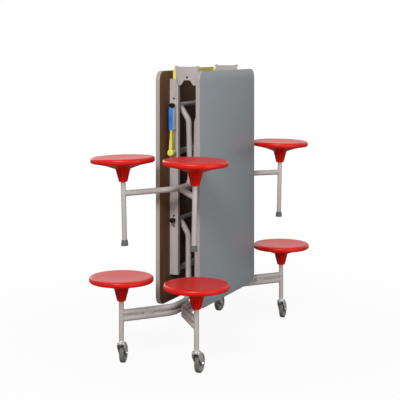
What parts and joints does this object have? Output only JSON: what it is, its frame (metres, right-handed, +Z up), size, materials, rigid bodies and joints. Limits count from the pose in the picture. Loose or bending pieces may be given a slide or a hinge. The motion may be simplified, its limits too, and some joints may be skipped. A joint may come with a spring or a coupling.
{
  "type": "folding table with stools",
  "caption": "Mobile folding table stored upright, its half-tops hung back to back on a centre hinge, with round stools on swinging frames, rubber feet and castors.",
  "frame": {"origin": "on the floor, under the middle of the folded table", "axes": "+Z up; Y along the width of the top, with the release lever on the -Y front; X across the folded halves, along the table when it is open"},
  "size_m": [0.741, 1.5276, 1.505],
  "materials": {
    "core_board": "dark brown backing sheet, matt",
    "laminate": "grey laminate, satin",
    "edge_band": "light grey, satin",
    "frame_paint": "warm light grey powder coat, semi-gloss",
    "zinc": "bright zinc plate",
    "yellow_paint": "yellow coating, semi-gloss",
    "blue_sleeve": "blue, smooth",
    "red_seat": "red moulded plastic, finely textured, semi-gloss",
    "black_plastic": "black, satin",
    "foot_rubber": "dark grey rubber, matt",
    "wheel_rubber": "grey non-marking rubber, matt"
  },
  "bodies": {
    "left_castor_frame": {"stool_frame_lower_left": "frame_paint", "pivot_cap_lower_left_front": "black_plastic", "seat_lower_left_front": "red_seat", "pivot_cap_lower_left_rear": "black_plastic", "seat_lower_left_rear": "red_seat"},
    "left_half": {"board_left": "core_board", "laminate_left": "laminate", "edge_band_left": "edge_band", "rail_frame_left": "frame_paint", "pivot_bush_lower_left_front": "zinc", "pivot_bush_lower_left_rear": "zinc", "pivot_bush_upper_left_front": "zinc", "pivot_bush_upper_left_rear": "zinc"},
    "centre_hinge": {"hinge_plate_front": "frame_paint", "hinge_plate_rear": "frame_paint", "hinge_spreader": "frame_paint"},
    "right_half": {"board_right": "core_board", "laminate_right": "laminate", "edge_band_right": "edge_band", "rail_frame_right": "frame_paint", "pivot_bush_lower_right_front": "zinc", "pivot_bush_lower_right_rear": "zinc", "pivot_bush_upper_right_front": "zinc", "pivot_bush_upper_right_rear": "zinc"},
    "right_castor_frame": {"stool_frame_lower_right": "frame_paint", "pivot_cap_lower_right_front": "black_plastic", "seat_lower_right_front": "red_seat", "pivot_cap_lower_right_rear": "black_plastic", "seat_lower_right_rear": "red_seat"},
    "left_upper_frame": {"stool_frame_upper_left": "frame_paint", "pivot_cap_upper_left_front": "black_plastic", "seat_upper_left_front": "red_seat", "foot_upper_left_front": "foot_rubber", "pivot_cap_upper_left_rear": "black_plastic", "seat_upper_left_rear": "red_seat", "foot_upper_left_rear": "foot_rubber"},
    "right_upper_frame": {"stool_frame_upper_right": "frame_paint", "pivot_cap_upper_right_front": "black_plastic", "seat_upper_right_front": "red_seat", "foot_upper_right_front": "foot_rubber", "pivot_cap_upper_right_rear": "black_plastic", "seat_upper_right_rear": "red_seat", "foot_upper_right_rear": "foot_rubber"},
    "left_link": {"link_bar_left": "zinc"},
    "right_link": {"link_bar_right": "zinc"},
    "release_lever": {"lever_strap": "frame_paint", "lever_sleeve": "blue_sleeve", "lever_knob": "yellow_paint"},
    "safety_bar": {"safety_bar": "yellow_paint"},
    "castor_swivel_left_front": {"castor_fork_left_front": "zinc"},
    "castor_wheel_left_front": {"castor_wheel_left_front": "wheel_rubber"},
    "castor_swivel_right_front": {"castor_fork_right_front": "zinc"},
    "castor_wheel_right_front": {"castor_wheel_right_front": "wheel_rubber"},
    "castor_swivel_right_rear": {"castor_fork_right_rear": "zinc"},
    "castor_wheel_right_rear": {"castor_wheel_right_rear": "wheel_rubber"},
    "castor_swivel_left_rear": {"castor_fork_left_rear": "zinc"},
    "castor_wheel_left_rear": {"castor_wheel_left_rear": "wheel_rubber"}
  },
  "joints": [
    {"name": "fold", "type": "hinge", "parent": "left_castor_frame", "child": "left_half", "pos_m": [-0.078, 0, 0.69], "axis": [0, 1, 0], "range_deg": [0, 90]},
    {"name": "left_half_hinge", "type": "hinge", "parent": "left_half", "child": "centre_hinge", "pos_m": [-0.036, 0, 1.4436], "axis": [0, 1, 0], "range_deg": [-90, 0]},
    {"name": "right_half_hinge", "type": "hinge", "parent": "centre_hinge", "child": "right_half", "pos_m": [0.036, 0, 1.4436], "axis": [0, 1, 0], "range_deg": [-90, 0]},
    {"name": "right_castor_frame_pivot", "type": "hinge", "parent": "right_half", "child": "right_castor_frame", "pos_m": [0.078, 0, 0.69], "axis": [0, 1, 0], "range_deg": [0, 90]},
    {"name": "left_upper_frame_pivot", "type": "hinge", "parent": "left_half", "child": "left_upper_frame", "pos_m": [-0.078, 0, 1.295], "axis": [0, 1, 0], "range_deg": [-90, 0]},
    {"name": "right_upper_frame_pivot", "type": "hinge", "parent": "right_half", "child": "right_upper_frame", "pos_m": [0.078, 0, 1.295], "axis": [0, 1, 0], "range_deg": [0, 90]},
    {"name": "left_link_pivot", "type": "hinge", "parent": "centre_hinge", "child": "left_link", "pos_m": [-0.01, 0, 1.4176], "axis": [0, 1, 0], "range_deg": [0, 90]},
    {"name": "right_link_pivot", "type": "hinge", "parent": "centre_hinge", "child": "right_link", "pos_m": [0.01, 0, 1.4176], "axis": [0, 1, 0], "range_deg": [-90, 0]},
    {"name": "lever_pivot", "type": "hinge", "parent": "left_half", "child": "release_lever", "pos_m": [-0.078, -0.2676, 1.295], "axis": [0, 1, 0], "range_deg": [-35, 0]},
    {"name": "safety_bar_pivot", "type": "hinge", "parent": "left_half", "child": "safety_bar", "pos_m": [-0.0755, 0, 1.427], "axis": [0, 1, 0], "range_deg": [-18, 0], "stiffness_Nm_per_rad": 0.6},
    {"name": "swivel_left_front", "type": "hinge", "parent": "left_castor_frame", "child": "castor_swivel_left_front", "pos_m": [-0.208, -0.6013, 0.1235], "axis": [0, 0, 1], "continuous": true},
    {"name": "axle_left_front", "type": "hinge", "parent": "castor_swivel_left_front", "child": "castor_wheel_left_front", "pos_m": [-0.21816, -0.56055, 0.04924], "axis": [0.9703, 0.2419, 0], "continuous": true},
    {"name": "swivel_right_front", "type": "hinge", "parent": "right_castor_frame", "child": "castor_swivel_right_front", "pos_m": [0.208, -0.6013, 0.1235], "axis": [0, 0, 1], "continuous": true},
    {"name": "axle_right_front", "type": "hinge", "parent": "castor_swivel_right_front", "child": "castor_wheel_right_front", "pos_m": [0.20507, -0.5594, 0.04924], "axis": [0.9976, 0.0698, 0], "continuous": true},
    {"name": "swivel_right_rear", "type": "hinge", "parent": "right_castor_frame", "child": "castor_swivel_right_rear", "pos_m": [0.208, 0.6013, 0.1235], "axis": [0, 0, 1], "continuous": true},
    {"name": "axle_right_rear", "type": "hinge", "parent": "castor_swivel_right_rear", "child": "castor_wheel_right_rear", "pos_m": [0.20361, 0.64307, 0.04924], "axis": [0.9945, 0.1045, 0], "continuous": true},
    {"name": "swivel_left_rear", "type": "hinge", "parent": "left_castor_frame", "child": "castor_swivel_left_rear", "pos_m": [-0.208, 0.6013, 0.1235], "axis": [0, 0, 1], "continuous": true},
    {"name": "axle_left_rear", "type": "hinge", "parent": "castor_swivel_left_rear", "child": "castor_wheel_left_rear", "pos_m": [-0.20507, 0.6432, 0.04924], "axis": [0.9976, -0.0698, 0], "continuous": true}
  ],
  "couplings": [
    {"joint": "left_half_hinge", "follows": "fold", "ratio": -1},
    {"joint": "right_half_hinge", "follows": "fold", "ratio": -1},
    {"joint": "right_castor_frame_pivot", "follows": "fold", "ratio": 1},
    {"joint": "left_upper_frame_pivot", "follows": "fold", "ratio": -0.98222},
    {"joint": "right_upper_frame_pivot", "follows": "fold", "ratio": 0.98667},
    {"joint": "left_link_pivot", "follows": "fold", "ratio": 1},
    {"joint": "right_link_pivot", "follows": "fold", "ratio": -1}
  ]
}
